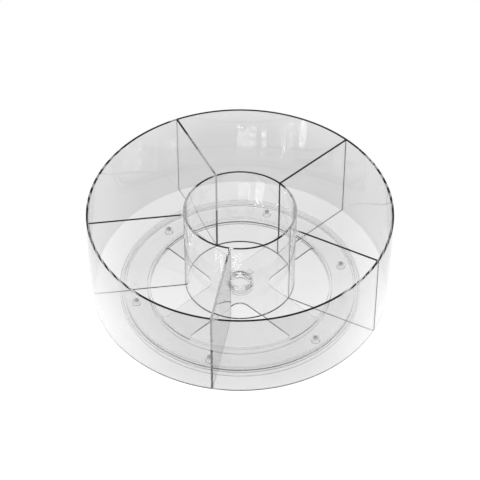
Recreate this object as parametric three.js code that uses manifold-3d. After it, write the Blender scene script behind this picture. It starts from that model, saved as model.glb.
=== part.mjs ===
// A clear divided turntable for small tools. A round tray with five wedge compartments and a centre cup
// turns on a low base, carried by six captured balls and held down by a snap plug at the hub.
// Millimetres, +Z up. The origin is on the resting surface, on the axis that the tray turns about.

import * as THREE from 'three';
import { mergeVertices } from 'three/addons/utils/BufferGeometryUtils.js';
import Module from 'manifold-3d';

// Whole object
const OUTER_RADIUS = 140;
const TOTAL_HEIGHT = 100;
const GAP = 0.3; // bond line or clearance between neighbours

// Tray
const TRAY_UNDERSIDE = 8.4;
const FLOOR = 1.6;
const WALL = 2.2;
const WALL_CHAMFER = 1.2; // at the outer wall's lower edge
const PARTITION = 2.0; // cup wall and dividers
const CUP_RADIUS = 51.8;
const DIVIDER_COUNT = 5;
const FIRST_DIVIDER = THREE.MathUtils.degToRad(43.7);

// Base ring
const SKIRT_RADIUS = 113.4;
const SKIRT_TOP = 6.2;
const RIB = 2.0; // thickness of the skirt and of the rib inside it
const RIB_TOP = 7.5;
const OUTER_RIB_RADIUS = 109.4;
const INNER_WALL_RADIUS = 84.5;
const INNER_WALL = 2.8;
const TRACK_TOP = 2.8;
const TRACK_BOTTOM = 1.2;
const SKIRT_SHELF = 4.2; // underside of the step between rib and skirt

// Balls and their pockets
const BALL_COUNT = 6;
const BALL_RADIUS = 2.5;
const BALL_CIRCLE = 99.4;
const FIRST_BALL = THREE.MathUtils.degToRad(14);
const BALL_HEIGHT = TRACK_TOP + GAP + BALL_RADIUS;
const POCKET_RADIUS = BALL_RADIUS + 0.45;
const POCKET_WALL = 1.3;
const POCKET_TOP = 6.3;

// Spider: an X of four arms
const ARM_COUNT = 4;
const ARM_HALF_WIDTH = 16.4;
const ARM_BOTTOM = 4.5;
const ARM_TOP = 6.5;
const WINDOW_FILLET = 10; // round corner where two arms meet

// Hub: a boss on the spider, and a plug pushed into it through the tray floor
const BOSS_RADIUS = 12.8;
const BOSS_WALL = 1.6;
const BOSS_TOP = TRAY_UNDERSIDE - 2 * GAP;
const PLUG_RADIUS = BOSS_RADIUS - BOSS_WALL - GAP;
const PLUG_WALL = 1.4;
const PLUG_BOTTOM = 1.2;
const PLUG_TOP = 11.4;
const WEB_BOTTOM = 2.2;
const WEB_TOP = 3.6;
const FLOOR_HOLE_RADIUS = PLUG_RADIUS + 0.5;
const TAB_COUNT = 4;
const FIRST_TAB = Math.PI / 4;
const TAB_WIDTH = 6.4;
const TAB_END = 15.6;
const TAB = 1.1;
const BARB_END = BOSS_RADIUS - 0.4;
const BARB_BOTTOM = 4.0;
const BARB_TOP = 6.2;
const FINGER_SLOT = 2.0;

// Facets round each kind of surface
const TRAY_SEGMENTS = 144;
const BASE_SEGMENTS = 120;
const CUP_SEGMENTS = 96;
const HUB_SEGMENTS = 48;
const SMALL_SEGMENTS = 20;
const FILLET_SEGMENTS = 8;

const wasm = await Module();
wasm.setup();

// Turned solid about Z from a closed profile of [radius, height] points, listed anticlockwise.
function turned(profile, segments) {
  const points = profile.map(([radius, height]) => new THREE.Vector2(radius, height));
  points.push(points[0].clone());
  return new THREE.LatheGeometry(points, segments).rotateX(Math.PI / 2);
}

// Round tube standing on Z, from its two radii and its two heights.
function tube(innerRadius, outerRadius, bottom, top, segments) {
  const profile = [
    [innerRadius, bottom],
    [outerRadius, bottom],
    [outerRadius, top],
    [innerRadius, top],
  ];
  return turned(profile, segments);
}

// Solid round bar standing on Z.
function disc(radius, bottom, top, segments) {
  const height = top - bottom;
  const bar = new THREE.CylinderGeometry(radius, radius, height, segments).rotateX(Math.PI / 2);
  return bar.translate(0, 0, bottom + height / 2);
}

// Rectangular block that starts at a radius, runs outwards along X and is centred on Y, turned by an angle.
function radialBlock(innerRadius, outerRadius, width, bottom, top, angle) {
  const block = new THREE.BoxGeometry(outerRadius - innerRadius, width, top - bottom);
  block.translate((innerRadius + outerRadius) / 2, 0, (bottom + top) / 2);
  return block.rotateZ(angle);
}

function toManifold(geometry) {
  const bare = geometry.clone();
  bare.deleteAttribute('normal');
  bare.deleteAttribute('uv');
  const merged = mergeVertices(bare, 1e-4);
  return new wasm.Manifold(
    new wasm.Mesh({
      numProp: 3,
      vertProperties: new Float32Array(merged.attributes.position.array),
      triVerts: new Uint32Array(merged.index.array),
    }),
  );
}

function fromManifold(solid) {
  const mesh = solid.getMesh();
  const geometry = new THREE.BufferGeometry();
  geometry.setAttribute('position', new THREE.BufferAttribute(mesh.vertProperties, 3));
  geometry.setIndex(new THREE.BufferAttribute(mesh.triVerts, 1));
  geometry.computeVertexNormals();
  return geometry;
}

function join(geometries) {
  const solids = geometries.map(toManifold);
  return fromManifold(solids.reduce((whole, next) => whole.add(next)));
}

function cut(geometry, tools) {
  const solid = toManifold(geometry);
  return fromManifold(tools.reduce((rest, tool) => rest.subtract(toManifold(tool)), solid));
}

// Angles of evenly spaced copies round the axis.
function anglesFrom(first, count) {
  return Array.from({ length: count }, (_, index) => first + (index * 2 * Math.PI) / count);
}

function clearPlastic() {
  return new THREE.MeshStandardMaterial({
    color: 0xeef0f1,
    roughness: 0.06,
    metalness: 0,
    transparent: true,
    opacity: 0.3,
  });
}

function polishedSteel() {
  return new THREE.MeshStandardMaterial({ color: 0xb9bcc0, roughness: 0.12, metalness: 1 });
}

function addMesh(group, name, geometry, material) {
  const mesh = new THREE.Mesh(geometry, material);
  mesh.name = name;
  group.add(mesh);
  return mesh;
}

// Outer wall, floor, centre cup and dividers, all flush at the rim.
function makeTray() {
  const tray = new THREE.Group();
  const wallInside = OUTER_RADIUS - WALL;
  const floorTop = TRAY_UNDERSIDE + FLOOR;
  const wallProfile = [
    [wallInside, TRAY_UNDERSIDE],
    [OUTER_RADIUS - WALL_CHAMFER, TRAY_UNDERSIDE],
    [OUTER_RADIUS, TRAY_UNDERSIDE + WALL_CHAMFER],
    [OUTER_RADIUS, TOTAL_HEIGHT],
    [wallInside, TOTAL_HEIGHT],
  ];
  addMesh(tray, 'tray_outer_wall', turned(wallProfile, TRAY_SEGMENTS), clearPlastic());

  const floor = tube(FLOOR_HOLE_RADIUS, wallInside - GAP, TRAY_UNDERSIDE, floorTop, TRAY_SEGMENTS);
  addMesh(tray, 'tray_floor', floor, clearPlastic());

  const cup = tube(CUP_RADIUS - PARTITION, CUP_RADIUS, floorTop + GAP, TOTAL_HEIGHT, CUP_SEGMENTS);
  addMesh(tray, 'centre_cup', cup, clearPlastic());

  anglesFrom(FIRST_DIVIDER, DIVIDER_COUNT).forEach((angle, index) => {
    const bottom = floorTop + GAP;
    const panel = radialBlock(CUP_RADIUS + GAP, wallInside - GAP, PARTITION, bottom, TOTAL_HEIGHT, angle);
    addMesh(tray, `divider_${index + 1}`, panel, clearPlastic());
  });
  return tray;
}

// Ball track between two ribs, with a stepped skirt outside it and a collar round each ball.
function makeBaseRing() {
  const trackInside = INNER_WALL_RADIUS + INNER_WALL;
  const profile = [
    [INNER_WALL_RADIUS, 0],
    [trackInside, 0],
    [trackInside, TRACK_BOTTOM],
    [OUTER_RIB_RADIUS, TRACK_BOTTOM],
    [OUTER_RIB_RADIUS, SKIRT_SHELF],
    [SKIRT_RADIUS - RIB, SKIRT_SHELF],
    [SKIRT_RADIUS - RIB, 0],
    [SKIRT_RADIUS, 0],
    [SKIRT_RADIUS, SKIRT_TOP],
    [OUTER_RIB_RADIUS, SKIRT_TOP],
    [OUTER_RIB_RADIUS, RIB_TOP],
    [OUTER_RIB_RADIUS - RIB, RIB_TOP],
    [OUTER_RIB_RADIUS - RIB, TRACK_TOP],
    [trackInside, TRACK_TOP],
    [trackInside, RIB_TOP],
    [INNER_WALL_RADIUS, RIB_TOP],
  ];
  const collarRoot = (TRACK_BOTTOM + TRACK_TOP) / 2;
  const collarRadius = POCKET_RADIUS + POCKET_WALL;
  const collars = anglesFrom(FIRST_BALL, BALL_COUNT).map((angle) =>
    tube(POCKET_RADIUS, collarRadius, collarRoot, POCKET_TOP, SMALL_SEGMENTS)
      .translate(BALL_CIRCLE, 0, 0)
      .rotateZ(angle),
  );
  return join([turned(profile, BASE_SEGMENTS), ...collars]);
}

// Outline of the X: each window has straight sides along two arms and a round inner corner.
function spiderOutline() {
  const endRadius = INNER_WALL_RADIUS - GAP;
  const apex = ARM_HALF_WIDTH * Math.SQRT2;
  const filletCentre = apex + WINDOW_FILLET * Math.SQRT2;
  const armEndAngle = Math.asin(ARM_HALF_WIDTH / endRadius);
  const outline = new THREE.Shape();
  for (let arm = 0; arm < ARM_COUNT; arm += 1) {
    const armAngle = Math.PI / ARM_COUNT + (arm * 2 * Math.PI) / ARM_COUNT;
    const windowAngle = armAngle + Math.PI / ARM_COUNT;
    outline.absarc(0, 0, endRadius, armAngle - armEndAngle, armAngle + armEndAngle, false);
    outline.absarc(
      filletCentre * Math.cos(windowAngle),
      filletCentre * Math.sin(windowAngle),
      WINDOW_FILLET,
      armAngle + 1.5 * Math.PI,
      armAngle + Math.PI,
      true,
    );
  }
  return outline;
}

// X plate with a hollow boss at its hub, and a catch in the boss for each barb of the plug.
function makeBaseSpider() {
  const plate = new THREE.ExtrudeGeometry(spiderOutline(), {
    depth: ARM_TOP - ARM_BOTTOM,
    bevelEnabled: false,
    curveSegments: FILLET_SEGMENTS,
  }).translate(0, 0, ARM_BOTTOM);
  const boss = disc(BOSS_RADIUS, 0, BOSS_TOP, HUB_SEGMENTS);
  const bore = disc(PLUG_RADIUS + GAP, -GAP, TOTAL_HEIGHT, HUB_SEGMENTS);
  const catches = anglesFrom(FIRST_TAB, TAB_COUNT).map((angle) =>
    radialBlock(
      PLUG_RADIUS - PLUG_WALL,
      BOSS_RADIUS + GAP,
      TAB_WIDTH + 2 * GAP,
      BARB_BOTTOM - GAP,
      BARB_TOP + GAP,
      angle,
    ),
  );
  return cut(join([plate, boss]), [bore, ...catches]);
}

// Cup-shaped plug: tabs over the tray floor, barbs for the boss, and slots that let the barbs spring.
function makeSnapPlug() {
  const bore = PLUG_RADIUS - PLUG_WALL;
  const root = PLUG_RADIUS - PLUG_WALL / 2;
  const body = join([
    tube(bore, PLUG_RADIUS, PLUG_BOTTOM, PLUG_TOP, HUB_SEGMENTS),
    disc(root, WEB_BOTTOM, WEB_TOP, HUB_SEGMENTS),
  ]);
  const tabBottom = TRAY_UNDERSIDE + FLOOR + GAP;
  const tabAngles = anglesFrom(FIRST_TAB, TAB_COUNT);
  const tabs = tabAngles.map((angle) =>
    radialBlock(root, TAB_END, TAB_WIDTH, tabBottom, tabBottom + TAB, angle),
  );
  const barbs = tabAngles.map((angle) =>
    radialBlock(root, BARB_END, TAB_WIDTH, BARB_BOTTOM, BARB_TOP, angle),
  );
  const slots = anglesFrom(0, TAB_COUNT).map((angle) =>
    radialBlock(root - PLUG_WALL, BOSS_RADIUS, FINGER_SLOT, WEB_TOP + GAP, PLUG_TOP + GAP, angle),
  );
  return cut(join([body, ...tabs, ...barbs]), slots);
}

function addBalls(group) {
  anglesFrom(FIRST_BALL, BALL_COUNT).forEach((angle, index) => {
    const sphere = new THREE.SphereGeometry(BALL_RADIUS, SMALL_SEGMENTS, SMALL_SEGMENTS / 2);
    const ball = addMesh(group, `ball_${index + 1}`, sphere, polishedSteel());
    ball.position.set(BALL_CIRCLE * Math.cos(angle), BALL_CIRCLE * Math.sin(angle), BALL_HEIGHT);
  });
}

const turntable = new THREE.Group();
turntable.add(makeTray());
addMesh(turntable, 'base_ring', makeBaseRing(), clearPlastic());
addMesh(turntable, 'base_spider', makeBaseSpider(), clearPlastic());
addMesh(turntable, 'hub_snap_plug', makeSnapPlug(), clearPlastic());
addBalls(turntable);

export default turntable;
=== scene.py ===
# Looks of a clear divided turntable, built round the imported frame. Metres, +Z up, on a white floor.
import math

import bmesh
import bpy
from mathutils import Matrix, Vector


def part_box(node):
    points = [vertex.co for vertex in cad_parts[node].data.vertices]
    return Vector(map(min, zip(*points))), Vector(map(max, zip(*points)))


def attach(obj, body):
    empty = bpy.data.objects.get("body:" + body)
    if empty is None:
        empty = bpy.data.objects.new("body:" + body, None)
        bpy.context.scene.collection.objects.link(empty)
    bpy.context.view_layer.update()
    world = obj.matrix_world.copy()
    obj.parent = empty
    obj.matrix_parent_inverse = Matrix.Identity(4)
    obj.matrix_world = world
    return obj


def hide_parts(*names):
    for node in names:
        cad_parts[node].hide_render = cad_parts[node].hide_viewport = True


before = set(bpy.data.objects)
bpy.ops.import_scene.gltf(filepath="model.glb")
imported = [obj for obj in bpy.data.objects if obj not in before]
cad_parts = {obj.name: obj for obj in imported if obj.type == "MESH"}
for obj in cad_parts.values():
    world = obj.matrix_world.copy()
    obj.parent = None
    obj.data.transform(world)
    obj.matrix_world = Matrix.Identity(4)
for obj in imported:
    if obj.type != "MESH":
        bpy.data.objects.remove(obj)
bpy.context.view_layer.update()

MM = 0.001

# ---------------------------------------------------------------- sizes
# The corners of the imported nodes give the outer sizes, and wall thicknesses and steps are added to them.
WALL_LOW, WALL_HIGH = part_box("tray_outer_wall")
RING_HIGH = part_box("base_ring")[1]
PLUG_LOW, PLUG_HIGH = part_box("hub_snap_plug")
DIVIDERS = [n for n in sorted(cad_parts) if n.startswith("divider_")]
BALLS = [n for n in sorted(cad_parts) if n.startswith("ball_")]

# Tray
OUTER_RADIUS = WALL_HIGH.x
INNER_RADIUS = OUTER_RADIUS - 2.2 * MM
RIM = WALL_HIGH.z
UNDERSIDE = WALL_LOW.z
FLOOR_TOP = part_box("tray_floor")[1].z
FLOOR_HOLE_RADIUS = 11.4 * MM
CUP_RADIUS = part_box("centre_cup")[1].x
PARTITION = 2.0 * MM  # thickness of the cup's wall and of the dividers
SUNK = 0.5 * MM  # how far the cup and the dividers reach into what they stand on or meet
RIM_EDGE = 0.12 * MM  # small rounds of the rims
BOTTOM_ROUND = 2.8 * MM
FLOOR_FILLET = 0.4 * MM  # where the floor meets the outer wall
FOOT_FILLET = 0.65 * MM
FOOT_START = 0.03 * MM  # how far under the floor's top the fillets of the cup's foot start

# Base ring: inner wall, ball track, outer rib, step and skirt, from the inside out
INNER_WALL_RADIUS = 84.5 * MM
TRACK_INSIDE = 87.3 * MM
TRACK_OUTSIDE = 107.4 * MM
RIB_OUTSIDE = 109.4 * MM
SKIRT_INSIDE = 111.4 * MM
SKIRT_RADIUS = RING_HIGH.x
RIB_TOP = RING_HIGH.z
SKIRT_TOP = 6.2 * MM
SKIRT_SHELF = 4.2 * MM
TRACK_TOP = 2.8 * MM
TRACK_BOTTOM = 1.2 * MM
RING_EDGE = 0.3 * MM

# Ball pockets: a collar round each ball, standing in the track
POCKET_RADIUS = 2.95 * MM
POCKET_WALL = 1.3 * MM
POCKET_TOP = 6.3 * MM
POCKET_EDGE = 0.3 * MM

# Spider: a flat plate with a window between each two of its four arms
ARM_HALF_WIDTH = 16.4 * MM
ARM_BOTTOM = 4.5 * MM
ARM_TOP = 6.5 * MM
WINDOW_REACH = INNER_WALL_RADIUS + 0.4 * MM  # ends inside the ring's wall
WINDOW_APEX = 10.0 * MM
WINDOW_CORNER = 3.5 * MM
WINDOW_INSET = 4.8 * MM  # length along the ring's wall that a window's outer corner takes up
WINDOW_EDGE = 0.35 * MM

# Hub: boss and bore of the spider, and the snap plug in them
BOSS_RADIUS = 12.8 * MM
BOSS_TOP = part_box("base_spider")[1].z
BOSS_EDGE = 0.25 * MM
BORE_RADIUS = 11.2 * MM
PLUG_RADIUS = 10.9 * MM
PLUG_WALL = 1.4 * MM
PLUG_EDGE = 0.2 * MM
WEB_BOTTOM = 2.2 * MM
WEB_TOP = 3.6 * MM
TAB_WIDTH = 6.4 * MM
TAB_END = 15.6 * MM
BARB_END = 12.4 * MM
BARB_BOTTOM = 4.0 * MM
BARB_TOP = 6.2 * MM
CATCH_TOP = ARM_TOP + 0.1 * MM  # the barbs' slots end just over the plate
FINGER_SLOT = 2.0 * MM
CLEARANCE = 0.3 * MM
CORE_RADIUS = 8 * MM  # the plate's waste inside the bore starts here
OVERRUN = 1 * MM  # how far a cutter or a hidden end runs past the face that it meets

QUARTERS = [i * math.pi / 2 for i in range(4)]
DIAGONALS = [angle + math.pi / 4 for angle in QUARTERS]

# Fineness of the meshes
WALL_SEGMENTS = 288
CUP_SEGMENTS = 192
HUB_SEGMENTS = 96
POCKET_SEGMENTS = 40
BALL_STEPS = 12


# ---------------------------------------------------------------- outlines
def arc_corner(before, corner, after, radius, steps):
    """Points of a round corner of a flat outline, or the corner itself where the radius is 0."""
    if radius <= 0:
        return [corner]
    a = (Vector(before) - Vector(corner)).normalized()
    b = (Vector(after) - Vector(corner)).normalized()
    half = a.angle(b) / 2
    reach = radius / math.tan(half)
    middle = Vector(corner) + (a + b).normalized() * (radius / math.sin(half))
    start = (Vector(corner) + a * reach - middle).normalized()
    end = (Vector(corner) + b * reach - middle).normalized()
    return [tuple(middle + start.slerp(end, i / steps) * radius) for i in range(steps + 1)]


def rounded(outline, radii, steps=4):
    """Closed outline with each corner rounded by its own radius."""
    points = []
    for i, corner in enumerate(outline):
        points += arc_corner(outline[i - 1], corner, outline[(i + 1) % len(outline)], radii[i], steps)
    return points


def circle(radius, count):
    """Outline of a round hole or disc, as evenly spaced points."""
    angles = [2 * math.pi * i / count for i in range(count)]
    return [(radius * math.cos(t), radius * math.sin(t)) for t in angles]


def centre(node):
    """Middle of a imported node's box."""
    low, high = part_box(node)
    return (low + high) / 2


# ---------------------------------------------------------------- solids
def piece_from(name, bm):
    """Object from a bmesh: welded, with its faces outwards."""
    bmesh.ops.remove_doubles(bm, verts=bm.verts, dist=1e-7)
    bmesh.ops.recalc_face_normals(bm, faces=bm.faces)
    mesh = bpy.data.meshes.new(name)
    bm.to_mesh(mesh)
    bm.free()
    piece = bpy.data.objects.new(name, mesh)
    bpy.context.scene.collection.objects.link(piece)
    return piece


def turned(name, profile, segments):
    """Closed profile of (radius, height) points turned about Z."""
    bm = bmesh.new()
    rings = []
    for i in range(segments):
        angle = 2 * math.pi * i / segments
        c, s = math.cos(angle), math.sin(angle)
        rings.append([bm.verts.new((r * c, r * s, z)) for r, z in profile])
    for i, ring in enumerate(rings):
        following = rings[(i + 1) % segments]
        for j in range(len(profile)):
            k = (j + 1) % len(profile)
            bm.faces.new((ring[j], following[j], following[k], ring[k]))
    return piece_from(name, bm)


def lofted(name, outlines):
    """Outlines in space, all with the same number of points, joined up in turn and closed at both ends."""
    bm = bmesh.new()
    rows = [[bm.verts.new(point) for point in outline] for outline in outlines]
    for lower, upper in zip(rows, rows[1:]):
        for i in range(len(lower)):
            j = (i + 1) % len(lower)
            bm.faces.new((lower[i], lower[j], upper[j], upper[i]))
    bm.faces.new(rows[0][::-1])
    bm.faces.new(rows[-1])
    return piece_from(name, bm)


def extruded(name, outline, bottom, top):
    """Flat outline given a thickness."""
    return lofted(name, [[(x, y, z) for x, y in outline] for z in (bottom, top)])


def radial_block(inner, outer, width, bottom, top, angle):
    """Block that runs outwards from one radius to another, in the direction of an angle."""
    half = width / 2
    outline = [(inner, -half), (outer, -half), (outer, half), (inner, half)]
    return turn_about_z(extruded("block", outline, bottom, top), angle)


def turn_about_z(piece, angle):
    """Turns the mesh, and leaves the object where it is."""
    piece.data.transform(Matrix.Rotation(angle, 4, "Z"))
    return piece


# ---------------------------------------------------------------- modifiers
def apply_modifiers(piece):
    """Replaces a piece's mesh by what its modifiers make of it."""
    depsgraph = bpy.context.evaluated_depsgraph_get()
    mesh = bpy.data.meshes.new_from_object(
        piece.evaluated_get(depsgraph), preserve_all_data_layers=True, depsgraph=depsgraph
    )
    piece.modifiers.clear()
    old = piece.data
    piece.data = mesh
    bpy.data.meshes.remove(old)
    return piece


def boolean(piece, tool, operation):
    """Joins a tool to a piece or cuts it out, and removes the tool. Done in millimetres, for exactness."""
    weld = 0.002  # mm
    for part in (piece, tool):
        part.data.transform(Matrix.Scale(1 / MM, 4))
    modifier = piece.modifiers.new(operation, "BOOLEAN")
    modifier.operation = operation
    modifier.solver = "EXACT"
    modifier.object = tool
    apply_modifiers(piece)
    bm = bmesh.new()
    bm.from_mesh(piece.data)
    bmesh.ops.remove_doubles(bm, verts=bm.verts, dist=weld)
    bmesh.ops.dissolve_degenerate(bm, edges=bm.edges, dist=weld)
    bm.to_mesh(piece.data)
    bm.free()
    piece.data.transform(Matrix.Scale(MM, 4))
    bpy.data.objects.remove(tool)
    return piece


def eased(piece, width):
    """Every edge sharper than 50 degrees is given a small round."""
    bevel = piece.modifiers.new("bevel", "BEVEL")
    bevel.width = width
    bevel.segments = 2
    bevel.limit_method = "ANGLE"
    bevel.angle_limit = math.radians(50)
    bevel.use_clamp_overlap = True
    return apply_modifiers(piece)


def smooth(piece):
    """Smooth shading that keeps level faces flat, and edges sharper than 40 degrees crisp."""
    level = 0.9999  # upward part of a level face's normal
    piece.data.shade_smooth()
    for face in piece.data.polygons:
        if abs(face.normal.z) > level:
            face.use_smooth = False
    piece.data.set_sharp_from_angle(angle=math.radians(40))
    weighted = piece.modifiers.new("weighted", "WEIGHTED_NORMAL")
    weighted.mode = "FACE_AREA"
    weighted.weight = 50
    weighted.keep_sharp = True
    return apply_modifiers(piece)


# ---------------------------------------------------------------- shader nodes
def new_material(name):
    """Material with its node tree and its shader."""
    material = bpy.data.materials.new(name)
    material.use_nodes = True
    tree = material.node_tree
    return material, tree, tree.nodes["Principled BSDF"]


def coordinates(tree, kind):
    """Place of a point on the piece, or the direction of a point of the world."""
    return tree.nodes.new("ShaderNodeTexCoord").outputs[kind]


def split(tree, vector):
    """The three parts of a vector."""
    node = tree.nodes.new("ShaderNodeSeparateXYZ")
    tree.links.new(vector, node.inputs["Vector"])
    return node.outputs["X"], node.outputs["Y"], node.outputs["Z"]


def arithmetic(tree, operation, a, b):
    """One operation on two inputs, each a number or another node's output."""
    node = tree.nodes.new("ShaderNodeMath")
    node.operation = operation
    for socket, value in zip(node.inputs, (a, b)):
        if isinstance(value, (int, float)):
            socket.default_value = value
        else:
            tree.links.new(value, socket)
    return node.outputs["Value"]


def distance(tree, x, y):
    """Distance of a point from the origin, from its two parts."""
    xx = arithmetic(tree, "MULTIPLY", x, x)
    yy = arithmetic(tree, "MULTIPLY", y, y)
    return arithmetic(tree, "SQRT", arithmetic(tree, "ADD", xx, yy), 0.0)


def map_range(tree, source, before, after, eased_ends=False):
    """Brings a value from one range to another, held at both ends."""
    node = tree.nodes.new("ShaderNodeMapRange")
    if eased_ends:
        node.interpolation_type = "SMOOTHSTEP"
    for socket, value in zip(("From Min", "From Max", "To Min", "To Max"), (*before, *after)):
        node.inputs[socket].default_value = value
    tree.links.new(source, node.inputs["Value"])
    return node.outputs["Result"]


def noise(tree, place, scale, detail, distortion=0.0):
    """Even noise between 0 and 1. Scale is in features a metre."""
    node = tree.nodes.new("ShaderNodeTexNoise")
    node.inputs["Scale"].default_value = scale
    node.inputs["Detail"].default_value = detail
    node.inputs["Distortion"].default_value = distortion
    tree.links.new(place, node.inputs["Vector"])
    return node.outputs["Fac"]


# ---------------------------------------------------------------- materials
def clear_plastic(name, tint, glance_shade_tint, wall_shade_tint=None, wall_glance_shade_tint=None):
    """Clear moulded plastic: a faint uneven tint, painted shade where a face is seen edge-on, haze, scuffs
    and slow waves.

    The outer wall can have a deeper tint of its own, which is painted shade. A glance tint, also painted
    shade, multiplies the tint where a face is seen edge-on.
    """
    material, tree, shader = new_material(name)
    shader.inputs["Transmission Weight"].default_value = 1.0
    shader.inputs["IOR"].default_value = 1.5
    place = coordinates(tree, "Object")
    haze = noise(tree, place, scale=35.0, detail=4.0)

    # Tint of each face that light crosses, with painted shade where a face is seen edge-on and at the outer
    # wall
    unevenness = 0.012
    body = map_range(tree, haze, (0.3, 0.7), (tint - unevenness, tint + unevenness))
    # Painted shade: a face seen edge-on is darkened
    look = tree.nodes.new("ShaderNodeLayerWeight")
    look.inputs["Blend"].default_value = 0.5
    edge_on_shade = map_range(tree, look.outputs["Facing"], (0.74, 0.90), (1.0, glance_shade_tint), eased_ends=True)
    if wall_shade_tint is not None:
        # Painted shade: the outer wall is darkened by a deeper tint than the rest
        x, y, _ = split(tree, place)
        radius = distance(tree, x, y)
        at_wall = (INNER_RADIUS - 2 * MM, INNER_RADIUS)
        painted_wall_shade = map_range(tree, radius, at_wall, (1.0, wall_shade_tint / tint))
        body = arithmetic(tree, "MULTIPLY", body, painted_wall_shade)
        wall_edge_on_shade = map_range(tree, radius, at_wall, (glance_shade_tint, wall_glance_shade_tint))
        tree.links.new(wall_edge_on_shade, edge_on_shade.node.inputs["To Max"])
    tree.links.new(arithmetic(tree, "MULTIPLY", body, edge_on_shade), shader.inputs["Base Color"])

    # Polished faces with a slight haze and a few fine scuffs
    fine = noise(tree, place, scale=420.0, detail=6.0, distortion=0.8)
    scuffs = map_range(tree, fine, (0.62, 0.74), (0.0, 0.03))
    dullness = map_range(tree, haze, (0.35, 0.75), (0.0, 0.006))
    tree.links.new(arithmetic(tree, "ADD", dullness, scuffs), shader.inputs["Roughness"])

    # Slow waves left by the mould
    waves = tree.nodes.new("ShaderNodeBump")
    waves.inputs["Strength"].default_value = 0.02
    waves.inputs["Distance"].default_value = 0.05 * MM
    tree.links.new(noise(tree, place, scale=22.0, detail=1.5, distortion=0.6), waves.inputs["Height"])
    tree.links.new(waves.outputs["Normal"], shader.inputs["Normal"])

    # Light is lost on its way through the plastic, which darkens the rims and edges
    depth = tree.nodes.new("ShaderNodeVolumeAbsorption")
    depth.inputs["Color"].default_value = (0.5, 0.5, 0.5, 1.0)
    depth.inputs["Density"].default_value = 12.0
    tree.links.new(depth.outputs["Volume"], tree.nodes["Material Output"].inputs["Volume"])
    return material


def bearing_steel():
    """Bright steel with fine lapping marks in its colour and gloss."""
    material, tree, shader = new_material("bearing_steel")
    shader.inputs["Metallic"].default_value = 1.0
    lapping = noise(tree, coordinates(tree, "Object"), scale=900.0, detail=3.0)
    colour = tree.nodes.new("ShaderNodeValToRGB")
    colour.color_ramp.elements[0].color = (0.50, 0.51, 0.52, 1)
    colour.color_ramp.elements[1].color = (0.72, 0.73, 0.74, 1)
    tree.links.new(lapping, colour.inputs["Fac"])
    tree.links.new(colour.outputs["Color"], shader.inputs["Base Color"])
    tree.links.new(map_range(tree, lapping, (0.0, 1.0), (0.08, 0.22)), shader.inputs["Roughness"])
    return material


# Painted shade: the glance tints of all three plastics, and the tray's deeper wall tint
TRAY_PLASTIC = clear_plastic(
    "tray_clear_plastic", tint=0.99, glance_shade_tint=0.35, wall_shade_tint=0.77, wall_glance_shade_tint=0.95
)
BASE_PLASTIC = clear_plastic("base_clear_plastic", tint=0.99, glance_shade_tint=0.9)
PLUG_PLASTIC = clear_plastic("plug_clear_plastic", tint=0.95, glance_shade_tint=0.9)
STEEL = bearing_steel()


def dress(piece, material, body, slot, *nodes):
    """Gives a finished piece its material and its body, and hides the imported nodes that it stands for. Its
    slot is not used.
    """
    piece.data.materials.clear()
    piece.data.materials.append(material)
    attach(piece, body)
    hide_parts(*nodes)


# ---------------------------------------------------------------- tray
def make_shell():
    """Outer wall and floor, with the hole at the hub."""
    outline = [
        (FLOOR_HOLE_RADIUS, UNDERSIDE),
        (OUTER_RADIUS, UNDERSIDE),
        (OUTER_RADIUS, RIM),
        (INNER_RADIUS, RIM),
        (INNER_RADIUS, FLOOR_TOP),
        (FLOOR_HOLE_RADIUS, FLOOR_TOP),
    ]
    radii = [RIM_EDGE, BOTTOM_ROUND, RIM_EDGE, RIM_EDGE, FLOOR_FILLET, RIM_EDGE]
    return turned("clear_tray", rounded(outline, radii, steps=6), WALL_SEGMENTS)


def make_cup():
    """Round wall of the cup, with a small fillet on both sides of its foot."""
    inside = CUP_RADIUS - PARTITION
    foot = FLOOR_TOP - FOOT_START
    outline = [
        (inside - FOOT_FILLET, FLOOR_TOP - SUNK),
        (CUP_RADIUS + FOOT_FILLET, FLOOR_TOP - SUNK),
        (CUP_RADIUS + FOOT_FILLET, foot),
        (CUP_RADIUS, foot),
        (CUP_RADIUS, RIM),
        (inside, RIM),
        (inside, foot),
        (inside - FOOT_FILLET, foot),
    ]
    fillet = FOOT_FILLET - FOOT_START
    radii = [0, 0, 0, fillet, RIM_EDGE, RIM_EDGE, fillet, 0]
    return turned("cup", rounded(outline, radii), CUP_SEGMENTS)


def make_divider(node):
    """Flat panel from the cup to the outer wall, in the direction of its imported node."""
    half = PARTITION / 2
    corners = [(-half, FLOOR_TOP - SUNK), (half, FLOOR_TOP - SUNK), (half, RIM), (-half, RIM)]
    section = rounded(corners, [0, 0, RIM_EDGE, RIM_EDGE])
    ends = (CUP_RADIUS - SUNK, INNER_RADIUS + SUNK)
    panel = lofted("panel", [[(x, y, z) for y, z in section] for x in ends])
    middle = centre(node)
    return turn_about_z(panel, math.atan2(middle.y, middle.x))


def make_tray():
    """The tray is one moulding: wall, floor, cup and dividers run into each other."""
    tray = make_shell()
    boolean(tray, make_cup(), "UNION")
    for node in DIVIDERS:
        boolean(tray, make_divider(node), "UNION")
    smooth(tray)
    dress(
        tray, TRAY_PLASTIC, "tray", "tray_clear",
        "tray_outer_wall", "tray_floor", "centre_cup", *DIVIDERS,
    )


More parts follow.
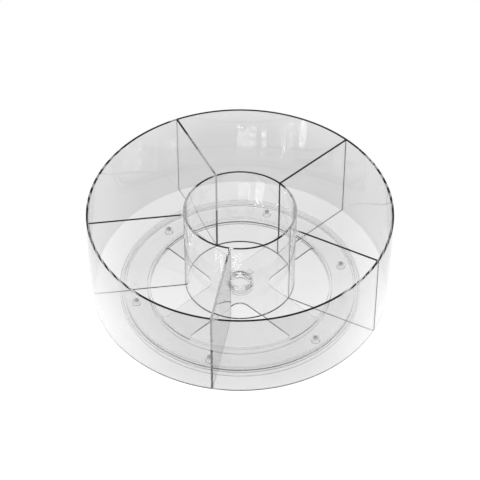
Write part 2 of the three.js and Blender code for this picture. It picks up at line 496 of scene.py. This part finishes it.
# ---------------------------------------------------------------- base
def make_ring():
    """Ring with a ball track between its inner wall and its rib, and a lower skirt outside them."""
    outline = [
        (INNER_WALL_RADIUS, 0),
        (TRACK_INSIDE, 0),
        (TRACK_INSIDE, TRACK_BOTTOM),
        (RIB_OUTSIDE, TRACK_BOTTOM),
        (RIB_OUTSIDE, SKIRT_SHELF),
        (SKIRT_INSIDE, SKIRT_SHELF),
        (SKIRT_INSIDE, 0),
        (SKIRT_RADIUS, 0),
        (SKIRT_RADIUS, SKIRT_TOP),
        (RIB_OUTSIDE, SKIRT_TOP),
        (RIB_OUTSIDE, RIB_TOP),
        (TRACK_OUTSIDE, RIB_TOP),
        (TRACK_OUTSIDE, TRACK_TOP),
        (TRACK_INSIDE, TRACK_TOP),
        (TRACK_INSIDE, RIB_TOP),
        (INNER_WALL_RADIUS, RIB_TOP),
    ]
    return turned("turntable_base", rounded(outline, [RING_EDGE] * len(outline)), WALL_SEGMENTS)


def window_outline(angle, grow):
    """One opening between two arms, round at its apex and at its two outer corners, grown by a margin."""
    apex = (ARM_HALF_WIDTH - grow) * math.sqrt(2)
    reach = WINDOW_REACH + grow
    # Where the edge of an arm meets the ring's inner wall, seen from the window's own axis
    corner = math.pi / 4 - math.asin((ARM_HALF_WIDTH - grow) / reach)
    inset = WINDOW_INSET / reach
    steps = 24
    sweep = [-corner + inset + (corner - inset) * 2 * i / steps for i in range(steps + 1)]
    points = [(apex, 0), (reach * math.cos(-corner), reach * math.sin(-corner))]
    points += [(reach * math.cos(t), reach * math.sin(t)) for t in sweep]
    points.append((reach * math.cos(corner), reach * math.sin(corner)))
    radii = [WINDOW_APEX + grow, WINDOW_CORNER] + [0] * len(sweep) + [WINDOW_CORNER]
    c, s = math.cos(angle), math.sin(angle)
    return [(x * c - y * s, x * s + y * c) for x, y in rounded(points, radii, steps=8)]


def window_cutter(angle):
    """Cutter that also rounds the plate's edges all round one window."""
    steps = 3
    turns = [i / steps * math.pi / 2 for i in range(steps + 1)]
    lower = [
        (ARM_BOTTOM + WINDOW_EDGE * (1 - math.cos(t)), WINDOW_EDGE * (1 - math.sin(t))) for t in turns
    ]
    upper = [(ARM_TOP + ARM_BOTTOM - z, grow) for z, grow in reversed(lower)]
    levels = [(ARM_BOTTOM - OVERRUN, WINDOW_EDGE), *lower, *upper, (ARM_TOP + OVERRUN, WINDOW_EDGE)]
    return lofted("window", [[(x, y, z) for x, y in window_outline(angle, grow)] for z, grow in levels])


def make_spider():
    """Plate with four arms, a boss with a bore, and a slot for each barb of the plug."""
    edge = INNER_WALL_RADIUS + OVERRUN
    section = [(CORE_RADIUS, ARM_BOTTOM), (edge, ARM_BOTTOM), (edge, ARM_TOP), (CORE_RADIUS, ARM_TOP)]
    spider = turned("plate", section, HUB_SEGMENTS)
    for angle in QUARTERS:
        boolean(spider, window_cutter(angle), "DIFFERENCE")
    core = CORE_RADIUS - OVERRUN
    profile = [(core, 0), (BOSS_RADIUS, 0), (BOSS_RADIUS, BOSS_TOP), (core, BOSS_TOP)]
    boss = turned("boss", rounded(profile, [0, BOSS_EDGE, BOSS_EDGE, 0]), HUB_SEGMENTS)
    boolean(spider, boss, "UNION")
    bore = extruded("bore", circle(BORE_RADIUS, HUB_SEGMENTS), -OVERRUN, RIM)
    boolean(spider, bore, "DIFFERENCE")
    for angle in DIAGONALS:
        catch = radial_block(
            PLUG_RADIUS - PLUG_WALL,
            BOSS_RADIUS + CLEARANCE,
            TAB_WIDTH + 2 * CLEARANCE,
            BARB_BOTTOM - CLEARANCE,
            CATCH_TOP,
            angle,
        )
        boolean(spider, catch, "DIFFERENCE")
    return spider


def make_collar(ball):
    """Round pocket wall that keeps one ball in its place in the track."""
    outside = POCKET_RADIUS + POCKET_WALL
    root = (TRACK_BOTTOM + TRACK_TOP) / 2
    profile = [(POCKET_RADIUS, root), (outside, root), (outside, POCKET_TOP), (POCKET_RADIUS, POCKET_TOP)]
    collar = turned("collar", rounded(profile, [0, 0, POCKET_EDGE, POCKET_EDGE]), POCKET_SEGMENTS)
    middle = centre(ball)
    collar.data.transform(Matrix.Translation((middle.x, middle.y, 0)))
    return collar


def make_base():
    """The base is one moulding: ring, spider and ball pockets."""
    spider = make_spider()
    base = make_ring()
    boolean(base, spider, "UNION")
    for ball in BALLS:
        boolean(base, make_collar(ball), "UNION")
    smooth(base)
    dress(base, BASE_PLASTIC, "base", "base_clear", "base_ring", "base_spider")


def make_plug():
    """Slotted plug with a web, four tabs over the tray's floor and four barbs in the spider's slots."""
    inside = PLUG_RADIUS - PLUG_WALL
    root = PLUG_RADIUS - PLUG_WALL / 2  # tabs, barbs and web start in the middle of the plug's wall
    outline = [
        (inside, PLUG_LOW.z),
        (PLUG_RADIUS, PLUG_LOW.z),
        (PLUG_RADIUS, PLUG_HIGH.z),
        (inside, PLUG_HIGH.z),
    ]
    plug = turned("snap_plug", outline, HUB_SEGMENTS)
    boolean(plug, extruded("web", circle(root, HUB_SEGMENTS), WEB_BOTTOM, WEB_TOP), "UNION")
    for angle in DIAGONALS:
        tab = radial_block(root, TAB_END, TAB_WIDTH, FLOOR_TOP + CLEARANCE, PLUG_HIGH.z, angle)
        boolean(plug, tab, "UNION")
        barb = radial_block(root, BARB_END, TAB_WIDTH, BARB_BOTTOM, BARB_TOP, angle)
        boolean(plug, barb, "UNION")
    for angle in QUARTERS:
        slot = radial_block(root - PLUG_WALL, BOSS_RADIUS, FINGER_SLOT, WEB_TOP + CLEARANCE, RIM, angle)
        boolean(plug, slot, "DIFFERENCE")
    eased(plug, PLUG_EDGE)
    smooth(plug)
    dress(plug, PLUG_PLASTIC, "base", "base_clear", "hub_snap_plug")


def make_ball(name):
    """Ball from the six faces of a cube, each a grid pushed out to the sphere."""
    low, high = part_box(name)
    middle = centre(name)
    radius = (high.z - low.z) / 2
    faces = [Matrix.Rotation(angle, 3, "Z") for angle in QUARTERS]
    faces += [Matrix.Rotation(side * math.pi / 2, 3, "Y") for side in (-1, 1)]
    spread = [math.tan((i / BALL_STEPS - 0.5) * math.pi / 2) for i in range(BALL_STEPS + 1)]
    bm = bmesh.new()
    for face in faces:
        grid = []
        for u in spread:
            directions = [face @ Vector((1, u, v)).normalized() for v in spread]
            grid.append([bm.verts.new(middle + direction * radius) for direction in directions])
        for i in range(BALL_STEPS):
            for j in range(BALL_STEPS):
                bm.faces.new((grid[i][j], grid[i + 1][j], grid[i + 1][j + 1], grid[i][j + 1]))
    ball = smooth(piece_from(name + "_steel", bm))
    dress(ball, STEEL, name, "ball_steel", name)


make_tray()
make_base()
make_plug()
for name in BALLS:
    make_ball(name)


# ---------------------------------------------------------------- stage
FLOOR_HALF_SIZE = 12.0
FLOOR_GAP = 0.2 * MM  # keeps the floor clear of the base's foot
FRONT_GLOW = 0.15
SIDE_GLOW = 0.2
SHADOW = 0.85  # brightness of the floor under the caddy
SHADOW_START = 0.095  # the shadow fades out from this radius
SHADOW_END = 0.150  # to this one
SHADOW_LENGTH = 0.115  # how far behind the caddy's middle the shadow runs

OVERHEAD = 0.40  # brightness of the sky overhead, as a part of the horizon's
SKY_FADE = (0.25, 0.55)  # heights, as sines, between which the sky goes from one to the other

LAMP_HEIGHT = 1.33
LAMP_AIM = (0, 0.071, FLOOR_TOP)

RIM_MIDDLE = (OUTER_RADIUS + INNER_RADIUS) / 2  # the camera's place is given in this radius
CAMERA_BACK = 9.2514 * RIM_MIDDLE
CAMERA_OVER_RIM = 8.7718 * RIM_MIDDLE
CAMERA_PITCH = 0.77446
CAMERA_LENS = 146.05  # millimetres, on a 36 mm sensor

BOUNCES = 16  # for light that runs along inside the clear walls
INDIRECT_CLAMP = 20  # keeps the reflections of the windows bright


def make_floor():
    """White floor that glows, brighter in front and at the sides, with a soft shadow under and behind."""
    bm = bmesh.new()
    bmesh.ops.create_grid(bm, x_segments=1, y_segments=1, size=FLOOR_HALF_SIZE)
    mesh = bpy.data.meshes.new("floor")
    bm.to_mesh(mesh)
    bm.free()
    floor = bpy.data.objects.new("floor", mesh)
    floor.location.z = -FLOOR_GAP
    bpy.context.scene.collection.objects.link(floor)
    material, tree, shader = new_material("white_floor")
    tree.nodes.remove(shader)
    x, y, _ = split(tree, coordinates(tree, "Object"))

    # Glow in front, and more of it at both sides of the front
    beside = map_range(tree, arithmetic(tree, "ABSOLUTE", x, 0.0), (0.05, 0.15), (0.0, 1.0), eased_ends=True)
    in_front = map_range(tree, y, (0.06, -0.08), (0.0, 1.0), eased_ends=True)
    front_glow = arithmetic(tree, "MULTIPLY", in_front, FRONT_GLOW)
    side_glow = arithmetic(tree, "MULTIPLY", arithmetic(tree, "MULTIPLY", beside, in_front), SIDE_GLOW)
    level = arithmetic(tree, "ADD", arithmetic(tree, "ADD", front_glow, side_glow), 1.0)

    # Shadow, the same all along a line from the caddy's middle to a little way behind it
    held = tree.nodes.new("ShaderNodeClamp")
    held.inputs["Min"].default_value = 0.0
    held.inputs["Max"].default_value = SHADOW_LENGTH
    tree.links.new(y, held.inputs["Value"])
    away = distance(tree, x, arithmetic(tree, "SUBTRACT", y, held.outputs["Result"]))
    shade = map_range(tree, away, (SHADOW_START, SHADOW_END), (SHADOW, 1.0), eased_ends=True)

    glow = tree.nodes.new("ShaderNodeEmission")
    tree.links.new(arithmetic(tree, "MULTIPLY", level, shade), glow.inputs["Strength"])
    tree.links.new(glow.outputs["Emission"], tree.nodes["Material Output"].inputs["Surface"])
    mesh.materials.append(material)


def make_world():
    """White round the horizon, grey overhead."""
    world = bpy.data.worlds.new("studio")
    bpy.context.scene.world = world
    world.use_nodes = True
    tree = world.node_tree
    _, _, z = split(tree, coordinates(tree, "Generated"))
    background = tree.nodes["Background"]
    background.inputs["Color"].default_value = (1, 1, 1, 1)
    strength = map_range(tree, z, SKY_FADE, (1.0, OVERHEAD), eased_ends=True)
    tree.links.new(strength, background.inputs["Strength"])


def make_window(name, x, y, width, height, power):
    """Small bright lamp that shows as a window's reflection in the back of the tray's wall."""
    data = bpy.data.lights.new(name, "AREA")
    data.shape = "RECTANGLE"
    data.size = width
    data.size_y = height
    data.energy = power
    lamp = bpy.data.objects.new(name, data)
    lamp.location = (x, y, LAMP_HEIGHT)
    direction = Vector(LAMP_AIM) - Vector((x, y, LAMP_HEIGHT))
    lamp.rotation_euler = direction.to_track_quat("-Z", "Y").to_euler()
    bpy.context.scene.collection.objects.link(lamp)


def make_camera():
    """Camera in front of the caddy, looking down at it at about 44 degrees."""
    data = bpy.data.cameras.new("camera")
    data.sensor_width = 36.0
    data.lens = CAMERA_LENS
    camera = bpy.data.objects.new("camera", data)
    camera.location = (0, -CAMERA_BACK, RIM + CAMERA_OVER_RIM)
    camera.rotation_euler = (math.pi / 2 - CAMERA_PITCH, 0, 0)
    bpy.context.scene.collection.objects.link(camera)
    bpy.context.scene.camera = camera


make_floor()
make_world()
make_camera()
make_window("window_left", -1.105, -0.965, width=0.29, height=0.049, power=0.85)
make_window("window_right", -0.885, -1.145, width=0.175, height=0.049, power=0.52)
make_window("window_pale", -0.131, -1.425, width=0.40, height=0.038, power=0.60)
make_window("window_thin", -0.485, -1.35, width=0.105, height=0.038, power=0.17)

scene = bpy.context.scene
scene.view_settings.view_transform = "Standard"
scene.cycles.max_bounces = BOUNCES
scene.cycles.glossy_bounces = BOUNCES
scene.cycles.transmission_bounces = BOUNCES
scene.cycles.sample_clamp_indirect = INDIRECT_CLAMP
